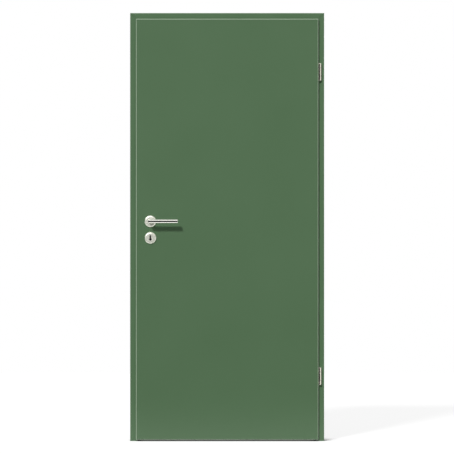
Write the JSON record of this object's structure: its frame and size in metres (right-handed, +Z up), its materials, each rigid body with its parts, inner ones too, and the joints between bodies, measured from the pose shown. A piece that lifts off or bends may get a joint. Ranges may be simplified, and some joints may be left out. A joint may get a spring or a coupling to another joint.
{
  "type": "interior door",
  "caption": "Flush rebated interior door, hinged on the right in a narrow folded steel corner frame, with a lever set on round roses and a mortise lock for a plain key.",
  "frame": {"origin": "On the finished floor, midway between the jambs, in the middle of the leaf's thickness", "axes": "+Z up; +X to the right seen from the opening side, towards the hinges; +Y from the opening side through the doorway towards the stop"},
  "size_m": [0.916, 0.152, 2.0205],
  "materials": {
    "leaf_lacquer": "satin green lacquer on board and timber, with a faint spray texture",
    "frame_paint": "satin green paint on folded steel sheet",
    "satin_steel": "stainless steel, brushed roses and a finely polished lever",
    "hinge_nickel": "satin nickel plate",
    "lock_steel": "bright steel, lightly ground",
    "zinc_steel": "zinc-plated steel with a faint spangle",
    "moulded_nylon": "black moulded nylon",
    "seal_rubber": "black soft seal strip",
    "core_board": "raw pressed board and softwood"
  },
  "bodies": {
    "frame": {"lock_jamb": "frame_paint", "hinge_jamb": "frame_paint", "frame_head": "frame_paint", "lock_corner_bracket": "zinc_steel", "hinge_corner_bracket": "zinc_steel", "corner_nuts": "zinc_steel", "frame_seal": "seal_rubber", "strike_box": "zinc_steel", "upper_hinge_receiver": "zinc_steel", "lower_hinge_receiver": "zinc_steel", "receiver_clamp_screws": "zinc_steel", "upper_frame_knuckle": "hinge_nickel", "lower_frame_knuckle": "hinge_nickel", "upper_hinge_pin": "hinge_nickel", "lower_hinge_pin": "hinge_nickel", "hinge_end_caps": "hinge_nickel", "hinge_washers": "moulded_nylon"},
    "leaf": {"front_board": "leaf_lacquer", "rear_board": "leaf_lacquer", "lock_stile": "leaf_lacquer", "hinge_stile": "leaf_lacquer", "top_rail": "leaf_lacquer", "bottom_rail": "leaf_lacquer", "tube_core": "core_board", "lock_block": "core_board", "upper_leaf_knuckles": "hinge_nickel", "lower_leaf_knuckles": "hinge_nickel", "lock_forend": "lock_steel", "forend_screws": "lock_steel", "lock_case": "lock_steel", "lock_cover": "lock_steel", "cover_screws": "lock_steel", "latch_spring": "lock_steel", "bolt_spring": "lock_steel", "front_lever_rose": "satin_steel", "front_lever_rose_base": "moulded_nylon", "front_lever_collar": "satin_steel", "front_key_rose": "satin_steel", "front_key_rose_base": "moulded_nylon", "rear_lever_rose": "satin_steel", "rear_lever_rose_base": "moulded_nylon", "rear_lever_collar": "satin_steel", "rear_key_rose": "satin_steel", "rear_key_rose_base": "moulded_nylon", "lever_rose_screws": "lock_steel", "key_rose_screws": "lock_steel"},
    "handle": {"front_lever": "satin_steel", "rear_lever": "satin_steel", "spindle": "lock_steel", "follower": "lock_steel", "lever_grub_screws": "lock_steel"},
    "latch": {"latch_bolt": "lock_steel"},
    "bolt": {"dead_bolt": "lock_steel"}
  },
  "joints": [
    {"name": "leaf_swing", "type": "hinge", "parent": "frame", "child": "leaf", "pos_m": [0.436, -0.01275, 1], "axis": [0, 0, 1], "range_deg": [0, 175]},
    {"name": "lever_turn", "type": "hinge", "parent": "leaf", "child": "handle", "pos_m": [-0.362, 0, 1.037], "axis": [0, 1, 0], "range_deg": [0, 40], "stiffness_Nm_per_rad": 1.2, "springref_deg": -20.05},
    {"name": "latch_slide", "type": "slide", "parent": "leaf", "child": "latch", "axis": [1, 0, 0], "range_m": [0, 0.0125], "deforming": ["latch_spring"]},
    {"name": "bolt_throw", "type": "slide", "parent": "leaf", "child": "bolt", "axis": [-1, 0, 0], "range_m": [0, 0.014]}
  ],
  "couplings": [
    {"joint": "latch_slide", "follows": "lever_turn", "m_per_rad": 0.017904}
  ]
}
